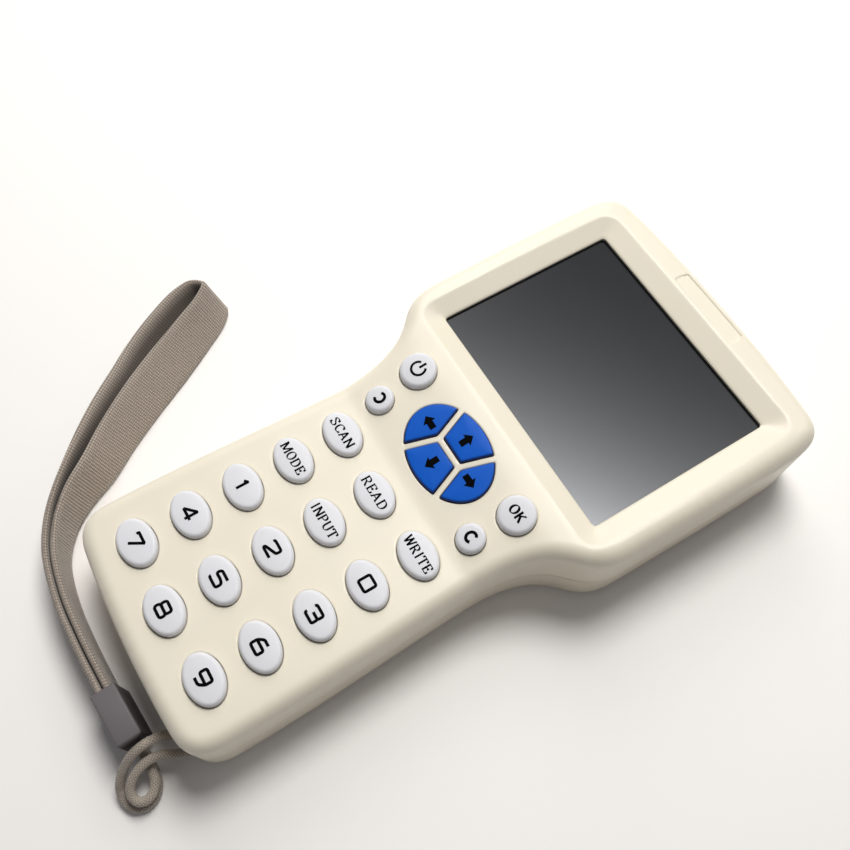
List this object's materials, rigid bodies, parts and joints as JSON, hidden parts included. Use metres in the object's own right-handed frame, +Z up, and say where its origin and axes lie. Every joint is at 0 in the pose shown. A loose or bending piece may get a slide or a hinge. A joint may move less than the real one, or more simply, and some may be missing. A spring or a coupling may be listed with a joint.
{
  "type": "handheld microchip scanner",
  "caption": "Handheld microchip scanner with a display head, a keypad grip, sprung keys, a sliding battery door and a wrist strap.",
  "frame": {"origin": "centre of the case's bounding box in plan, on the surface that the scanner lies on, with the strap left out", "axes": "+X across the grip to the right as the keys are read, +Y along the case from the strap end to the display end, +Z up through the keypad face"},
  "size_m": [0.1289, 0.184, 0.0274],
  "materials": {
    "case_plastic": "satin",
    "key_white": "satin",
    "key_blue": "satin",
    "screen_glass": "gloss",
    "display_dark": "satin",
    "frame_steel": "satin",
    "foam_black": "matte",
    "flex_amber": "satin",
    "board_green": "satin",
    "silicone_grey": "matte",
    "buzzer_black": "matte",
    "coil_copper": "satin",
    "ferrite_grey": "matte",
    "cell_jacket": "gloss",
    "contact_nickel": "satin",
    "screw_steel": "satin",
    "webbing_taupe": "matte",
    "cord_taupe": "matte",
    "clamp_grey": "satin"
  },
  "bodies": {
    "case": {"front_cover": "case_plastic", "rear_cover": "case_plastic", "screen_window": "screen_glass", "screen_gasket": "foam_black", "display_panel": "display_dark", "display_frame": "frame_steel", "display_flex": "flex_amber", "main_board": "board_green", "keypad_mat": "silicone_grey", "buzzer": "buzzer_black", "antenna_coil": "coil_copper", "antenna_board": "board_green", "ferrite_sheet": "ferrite_grey", "battery_cell_1": "cell_jacket", "battery_cell_2": "cell_jacket", "battery_cell_3": "cell_jacket", "battery_cell_4": "cell_jacket", "contact_low_1": "contact_nickel", "contact_low_2": "contact_nickel", "contact_low_3": "contact_nickel", "contact_low_4": "contact_nickel", "contact_high_1": "contact_nickel", "contact_high_2": "contact_nickel", "contact_high_3": "contact_nickel", "contact_high_4": "contact_nickel", "case_screw_1": "screw_steel", "case_screw_2": "screw_steel", "case_screw_3": "screw_steel", "case_screw_4": "screw_steel", "case_screw_5": "screw_steel", "case_screw_6": "screw_steel", "strap_webbing": "webbing_taupe", "strap_clamp": "clamp_grey", "strap_cord_upper": "cord_taupe", "strap_cord_lower": "cord_taupe"},
    "battery_door": {"battery_door": "case_plastic"},
    "key_7": {"key_7": "key_white"},
    "key_4": {"key_4": "key_white"},
    "key_1": {"key_1": "key_white"},
    "key_mode": {"key_mode": "key_white"},
    "key_scan": {"key_scan": "key_white"},
    "key_8": {"key_8": "key_white"},
    "key_5": {"key_5": "key_white"},
    "key_2": {"key_2": "key_white"},
    "key_input": {"key_input": "key_white"},
    "key_read": {"key_read": "key_white"},
    "key_9": {"key_9": "key_white"},
    "key_6": {"key_6": "key_white"},
    "key_3": {"key_3": "key_white"},
    "key_0": {"key_0": "key_white"},
    "key_write": {"key_write": "key_white"},
    "key_power": {"key_power": "key_white"},
    "key_ok": {"key_ok": "key_white"},
    "key_clear_left": {"key_clear_left": "key_white"},
    "key_clear_right": {"key_clear_right": "key_white"},
    "key_left": {"key_left": "key_blue"},
    "key_right": {"key_right": "key_blue"},
    "key_up": {"key_up": "key_blue"},
    "key_down": {"key_down": "key_blue"}
  },
  "joints": [
    {"name": "battery_door_slide", "type": "slide", "parent": "case", "child": "battery_door", "axis": [0, -1, 0], "range_m": [0, 0.004]},
    {"name": "key_7_press", "type": "slide", "parent": "case", "child": "key_7", "axis": [0, 0, -1], "range_m": [0, 0.0009], "stiffness_N_per_m": 600},
    {"name": "key_4_press", "type": "slide", "parent": "case", "child": "key_4", "axis": [0, 0, -1], "range_m": [0, 0.0009], "stiffness_N_per_m": 600},
    {"name": "key_1_press", "type": "slide", "parent": "case", "child": "key_1", "axis": [0, 0, -1], "range_m": [0, 0.0009], "stiffness_N_per_m": 600},
    {"name": "key_mode_press", "type": "slide", "parent": "case", "child": "key_mode", "axis": [0, 0, -1], "range_m": [0, 0.0009], "stiffness_N_per_m": 600},
    {"name": "key_scan_press", "type": "slide", "parent": "case", "child": "key_scan", "axis": [0, 0, -1], "range_m": [0, 0.0009], "stiffness_N_per_m": 600},
    {"name": "key_8_press", "type": "slide", "parent": "case", "child": "key_8", "axis": [0, 0, -1], "range_m": [0, 0.0009], "stiffness_N_per_m": 600},
    {"name": "key_5_press", "type": "slide", "parent": "case", "child": "key_5", "axis": [0, 0, -1], "range_m": [0, 0.0009], "stiffness_N_per_m": 600},
    {"name": "key_2_press", "type": "slide", "parent": "case", "child": "key_2", "axis": [0, 0, -1], "range_m": [0, 0.0009], "stiffness_N_per_m": 600},
    {"name": "key_input_press", "type": "slide", "parent": "case", "child": "key_input", "axis": [0, 0, -1], "range_m": [0, 0.0009], "stiffness_N_per_m": 600},
    {"name": "key_read_press", "type": "slide", "parent": "case", "child": "key_read", "axis": [0, 0, -1], "range_m": [0, 0.0009], "stiffness_N_per_m": 600},
    {"name": "key_9_press", "type": "slide", "parent": "case", "child": "key_9", "axis": [0, 0, -1], "range_m": [0, 0.0009], "stiffness_N_per_m": 600},
    {"name": "key_6_press", "type": "slide", "parent": "case", "child": "key_6", "axis": [0, 0, -1], "range_m": [0, 0.0009], "stiffness_N_per_m": 600},
    {"name": "key_3_press", "type": "slide", "parent": "case", "child": "key_3", "axis": [0, 0, -1], "range_m": [0, 0.0009], "stiffness_N_per_m": 600},
    {"name": "key_0_press", "type": "slide", "parent": "case", "child": "key_0", "axis": [0, 0, -1], "range_m": [0, 0.0009], "stiffness_N_per_m": 600},
    {"name": "key_write_press", "type": "slide", "parent": "case", "child": "key_write", "axis": [0, 0, -1], "range_m": [0, 0.0009], "stiffness_N_per_m": 600},
    {"name": "key_power_press", "type": "slide", "parent": "case", "child": "key_power", "axis": [0, 0, -1], "range_m": [0, 0.0009], "stiffness_N_per_m": 600},
    {"name": "key_ok_press", "type": "slide", "parent": "case", "child": "key_ok", "axis": [0, 0, -1], "range_m": [0, 0.0009], "stiffness_N_per_m": 600},
    {"name": "key_clear_left_press", "type": "slide", "parent": "case", "child": "key_clear_left", "axis": [0, 0, -1], "range_m": [0, 0.0009], "stiffness_N_per_m": 600},
    {"name": "key_clear_right_press", "type": "slide", "parent": "case", "child": "key_clear_right", "axis": [0, 0, -1], "range_m": [0, 0.0009], "stiffness_N_per_m": 600},
    {"name": "key_left_press", "type": "slide", "parent": "case", "child": "key_left", "axis": [0, 0, -1], "range_m": [0, 0.0009], "stiffness_N_per_m": 600},
    {"name": "key_right_press", "type": "slide", "parent": "case", "child": "key_right", "axis": [0, 0, -1], "range_m": [0, 0.0009], "stiffness_N_per_m": 600},
    {"name": "key_up_press", "type": "slide", "parent": "case", "child": "key_up", "axis": [0, 0, -1], "range_m": [0, 0.0009], "stiffness_N_per_m": 600},
    {"name": "key_down_press", "type": "slide", "parent": "case", "child": "key_down", "axis": [0, 0, -1], "range_m": [0, 0.0009], "stiffness_N_per_m": 600}
  ]
}
